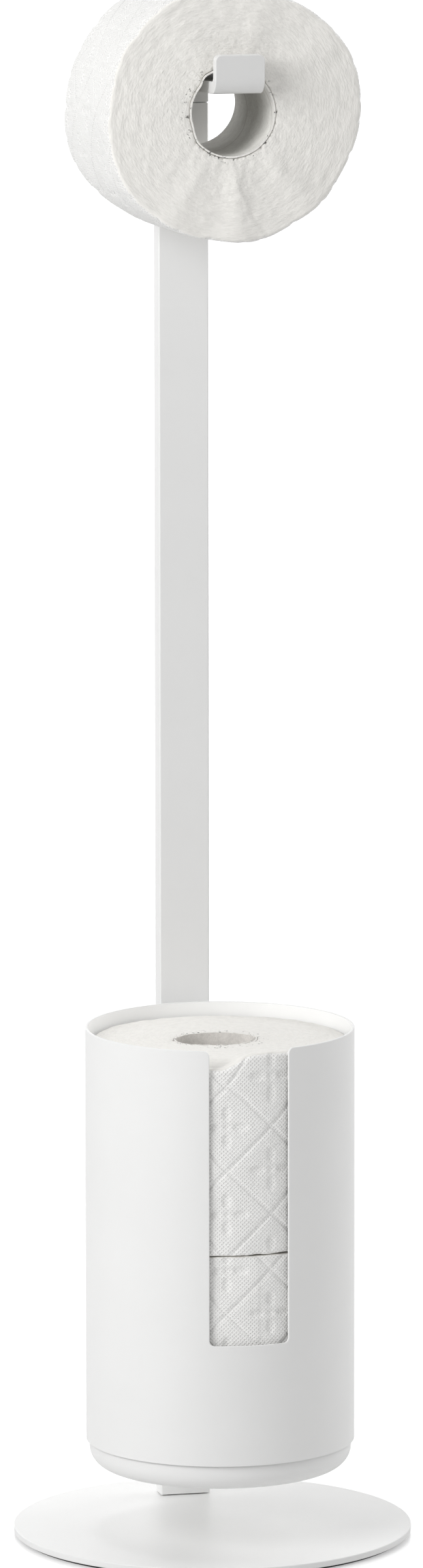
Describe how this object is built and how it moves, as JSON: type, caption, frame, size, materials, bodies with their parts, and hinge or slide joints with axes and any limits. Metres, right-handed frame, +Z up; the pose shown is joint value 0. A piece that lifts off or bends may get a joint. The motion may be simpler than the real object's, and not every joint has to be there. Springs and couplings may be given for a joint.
{
  "type": "freestanding toilet paper holder",
  "caption": "Freestanding holder for toilet paper: a flat post on a round base with an upturned hook for a roll and an open-fronted cylinder for spare rolls.",
  "frame": {"origin": "on the floor under the middle of the round base plate", "axes": "+Z up along the post; the hook's lip and the container's slot face -Y; the post stands towards +Y"},
  "size_m": [0.1914, 0.1914, 0.7511],
  "materials": {
    "white_powder_coat": "satin white powder coat with a very fine texture",
    "white_moulded_plastic": "matt moulded white",
    "grey_pad": "matt dark grey foam rubber",
    "plain_steel": "plain zinc-bright steel",
    "tissue_paper": "soft embossed tissue, off-white",
    "core_board": "grey-brown board tube"
  },
  "bodies": {
    "stand": {"base_plate": "white_powder_coat", "base_pad": "grey_pad", "post": "white_powder_coat", "foot_block": "plain_steel", "foot_screw_left": "plain_steel", "foot_screw_right": "plain_steel", "hook": "white_powder_coat", "hook_screw": "plain_steel", "container_shell": "white_powder_coat", "container_bottom": "white_powder_coat", "container_floor": "white_moulded_plastic", "container_bracket": "white_powder_coat", "container_screw_upper": "plain_steel", "container_screw_lower": "plain_steel", "post_sleeve_upper": "plain_steel", "post_sleeve_lower": "plain_steel"},
    "hanging_roll": {"hanging_roll_paper": "tissue_paper", "hanging_roll_core": "core_board"},
    "spare_roll_lower": {"spare_roll_lower_paper": "tissue_paper", "spare_roll_lower_core": "core_board"},
    "spare_roll_upper": {"spare_roll_upper_paper": "tissue_paper", "spare_roll_upper_core": "core_board"}
  },
  "joints": [
    {"name": "hanging_roll_turn", "type": "hinge", "parent": "stand", "child": "hanging_roll", "pos_m": [0.00006, 0, 0.68859], "axis": [0.0401, 0.9976, -0.0558], "continuous": true},
    {"name": "spare_roll_lower_lift", "type": "slide", "parent": "stand", "child": "spare_roll_lower", "axis": [0, 0, 1], "range_m": [0, 0.195]},
    {"name": "spare_roll_upper_lift", "type": "slide", "parent": "spare_roll_lower", "child": "spare_roll_upper", "axis": [0, 0, 1], "range_m": [0, 0.102]}
  ]
}
